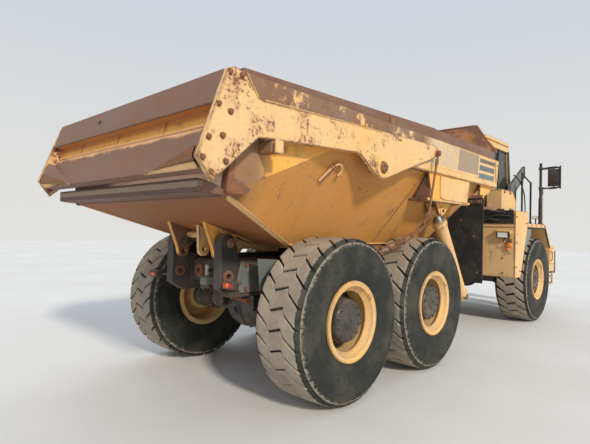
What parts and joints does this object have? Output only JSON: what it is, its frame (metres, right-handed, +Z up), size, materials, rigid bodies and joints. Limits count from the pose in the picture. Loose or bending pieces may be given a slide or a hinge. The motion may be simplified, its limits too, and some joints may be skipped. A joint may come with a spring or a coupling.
{
  "type": "articulated dump truck",
  "caption": "Articulated off-road hauler: steering front unit, rear unit with tipping trough body, telescopic hoists and overhead-arm tailgate",
  "frame": {"origin": "centre of the bounding box on the ground plane", "axes": "+X is forward, +Y is the driver's left, +Z is up"},
  "size_m": [10.15, 3.548, 3.4998],
  "materials": {
    "tyre": "dusty worn rubber",
    "rubber": "dull",
    "wheel_paint": "faded cream yellow",
    "body_paint": "worn orange yellow",
    "faded_paint": "faded cream yellow",
    "bare_steel": "rusty bare steel",
    "chassis_paint": "dark chassis paint",
    "grey_paint": "grey green paint",
    "chrome_rod": "polished rod",
    "glass": "dark green tint",
    "interior": "matt"
  },
  "bodies": {
    "rear_frame": {"rear_rails": "chassis_paint", "rear_hinges": "chassis_paint", "rear_crossmembers": "chassis_paint", "rear_nose": "chassis_paint", "rear_outriggers": "chassis_paint", "rear_axle": "chassis_paint", "middle_axle": "chassis_paint", "equalizer_beams": "grey_paint", "rear_shafts": "chassis_paint"},
    "hitch": {"hitch": "chassis_paint"},
    "front_frame": {"front_rails": "chassis_paint", "front_crossmembers": "chassis_paint", "front_outriggers": "chassis_paint", "front_axle": "chassis_paint", "engine": "grey_paint", "bumper": "chassis_paint", "fenders": "faded_paint", "side_boxes": "faded_paint", "step_boxes": "faded_paint", "cab_shell": "faded_paint", "cab_glass": "glass", "cab_interior": "interior", "air_box": "faded_paint", "guard_screen": "grey_paint", "mirrors": "chassis_paint", "handrails": "chassis_paint", "lamps": "chassis_paint"},
    "hood": {"hood": "faded_paint", "grille": "chassis_paint"},
    "cab_door": {"cab_door": "faded_paint", "door_glass": "glass"},
    "dump_body": {"dump_body": "body_paint", "body_rails": "faded_paint", "spill_board": "bare_steel", "mud_flaps": "rubber"},
    "tailgate": {"tailgate_panel": "body_paint", "tailgate_arms": "faded_paint"},
    "gate_links": {"gate_links": "bare_steel", "gate_chains": "bare_steel"},
    "hoist_barrels": {"hoist_barrels": "faded_paint"},
    "hoist_tubes": {"hoist_tubes": "chrome_rod"},
    "hoist_sleeves": {"hoist_sleeves": "chrome_rod"},
    "hoist_rods": {"hoist_rods": "chrome_rod"},
    "steer_barrel_left": {"steer_barrel_left": "body_paint"},
    "steer_barrel_right": {"steer_barrel_right": "body_paint"},
    "steer_rod_left": {"steer_rod_left": "chrome_rod"},
    "steer_rod_right": {"steer_rod_right": "chrome_rod"},
    "wheel_rear_left": {"rim_rear_left": "wheel_paint", "tyre_rear_left": "tyre"},
    "wheel_rear_right": {"rim_rear_right": "wheel_paint", "tyre_rear_right": "tyre"},
    "wheel_middle_left": {"rim_middle_left": "wheel_paint", "tyre_middle_left": "tyre"},
    "wheel_middle_right": {"rim_middle_right": "wheel_paint", "tyre_middle_right": "tyre"},
    "wheel_front_left": {"rim_front_left": "wheel_paint", "tyre_front_left": "tyre"},
    "wheel_front_right": {"rim_front_right": "wheel_paint", "tyre_front_right": "tyre"}
  },
  "joints": [
    {"name": "rear_left_wheel_spin", "type": "hinge", "parent": "rear_frame", "child": "wheel_rear_left", "pos_m": [-3.225, 1.165, 0.8], "axis": [0, 1, 0], "continuous": true},
    {"name": "rear_right_wheel_spin", "type": "hinge", "parent": "rear_frame", "child": "wheel_rear_right", "pos_m": [-3.225, -1.165, 0.8], "axis": [0, 1, 0], "continuous": true},
    {"name": "middle_left_wheel_spin", "type": "hinge", "parent": "rear_frame", "child": "wheel_middle_left", "pos_m": [-1.525, 1.165, 0.8], "axis": [0, 1, 0], "continuous": true},
    {"name": "middle_right_wheel_spin", "type": "hinge", "parent": "rear_frame", "child": "wheel_middle_right", "pos_m": [-1.525, -1.165, 0.8], "axis": [0, 1, 0], "continuous": true},
    {"name": "front_left_wheel_spin", "type": "hinge", "parent": "front_frame", "child": "wheel_front_left", "pos_m": [2.825, 1.165, 0.8], "axis": [0, 1, 0], "continuous": true},
    {"name": "front_right_wheel_spin", "type": "hinge", "parent": "front_frame", "child": "wheel_front_right", "pos_m": [2.825, -1.165, 0.8], "axis": [0, 1, 0], "continuous": true},
    {"name": "oscillation", "type": "hinge", "parent": "rear_frame", "child": "hitch", "pos_m": [0.925, 0, 1], "axis": [1, 0, 0], "range_deg": [-15, 15]},
    {"name": "steer", "type": "hinge", "parent": "hitch", "child": "front_frame", "pos_m": [1.325, 0, 1], "axis": [0, 0, 1], "range_deg": [-45, 45]},
    {"name": "hood_lift", "type": "hinge", "parent": "front_frame", "child": "hood", "pos_m": [4.785, 0, 1.33], "axis": [0, 1, 0], "range_deg": [0, 60]},
    {"name": "cab_door_swing", "type": "hinge", "parent": "front_frame", "child": "cab_door", "pos_m": [1.895, 0.815, 2.6], "axis": [0, 0, 1], "range_deg": [0, 70]},
    {"name": "dump", "type": "hinge", "parent": "rear_frame", "child": "dump_body", "pos_m": [-3.985, 0, 1.52], "axis": [0, -1, 0], "range_deg": [0, 70]},
    {"name": "tailgate_lift", "type": "hinge", "parent": "dump_body", "child": "tailgate", "pos_m": [-2.885, 0, 2.3], "axis": [0, 1, 0], "range_deg": [0, 80]},
    {"name": "gate_link_turn", "type": "hinge", "parent": "tailgate", "child": "gate_links", "pos_m": [-1.715, 0, 2.6], "axis": [0, -1, 0], "range_deg": [0, 58.41]},
    {"name": "hoist_turn", "type": "hinge", "parent": "rear_frame", "child": "hoist_barrels", "pos_m": [-0.275, 0, 0.75], "axis": [0, -1, 0], "range_deg": [0, 5.91]},
    {"name": "hoist_slide_tube", "type": "slide", "parent": "hoist_barrels", "child": "hoist_tubes", "axis": [-0.578, 0, 0.816], "range_m": [0, 1.1044]},
    {"name": "hoist_slide_sleeve", "type": "slide", "parent": "hoist_tubes", "child": "hoist_sleeves", "axis": [-0.578, 0, 0.816], "range_m": [0, 1.1044]},
    {"name": "hoist_slide_rod", "type": "slide", "parent": "hoist_sleeves", "child": "hoist_rods", "axis": [-0.578, 0, 0.816], "range_m": [0, 1.1044]},
    {"name": "steer_turn_left", "type": "hinge", "parent": "hitch", "child": "steer_barrel_left", "pos_m": [1.025, 0.2, 1.33], "axis": [0, 0, 1], "range_deg": [-34.05, 34.05]},
    {"name": "steer_slide_left", "type": "slide", "parent": "steer_barrel_left", "child": "steer_rod_left", "axis": [0.9955, 0.0948, 0], "range_m": [-0.1718, 0.1718]},
    {"name": "steer_turn_right", "type": "hinge", "parent": "hitch", "child": "steer_barrel_right", "pos_m": [1.025, -0.2, 1.33], "axis": [0, 0, 1], "range_deg": [-34.05, 34.05]},
    {"name": "steer_slide_right", "type": "slide", "parent": "steer_barrel_right", "child": "steer_rod_right", "axis": [0.9955, -0.0948, 0], "range_m": [-0.1718, 0.1718]}
  ],
  "couplings": [
    {"joint": "tailgate_lift", "follows": "dump", "ratio": 1.1428},
    {"joint": "gate_link_turn", "follows": "dump", "ratio": 0.8273},
    {"joint": "hoist_turn", "follows": "dump", "ratio": 0.0816},
    {"joint": "hoist_slide_tube", "follows": "dump", "m_per_rad": 0.9023},
    {"joint": "hoist_slide_sleeve", "follows": "dump", "m_per_rad": 0.9023},
    {"joint": "hoist_slide_rod", "follows": "dump", "m_per_rad": 0.9023},
    {"joint": "steer_turn_left", "follows": "steer", "ratio": 0.7522},
    {"joint": "steer_slide_left", "follows": "steer", "m_per_rad": -0.2175},
    {"joint": "steer_turn_right", "follows": "steer", "ratio": 0.7522},
    {"joint": "steer_slide_right", "follows": "steer", "m_per_rad": 0.2175}
  ]
}
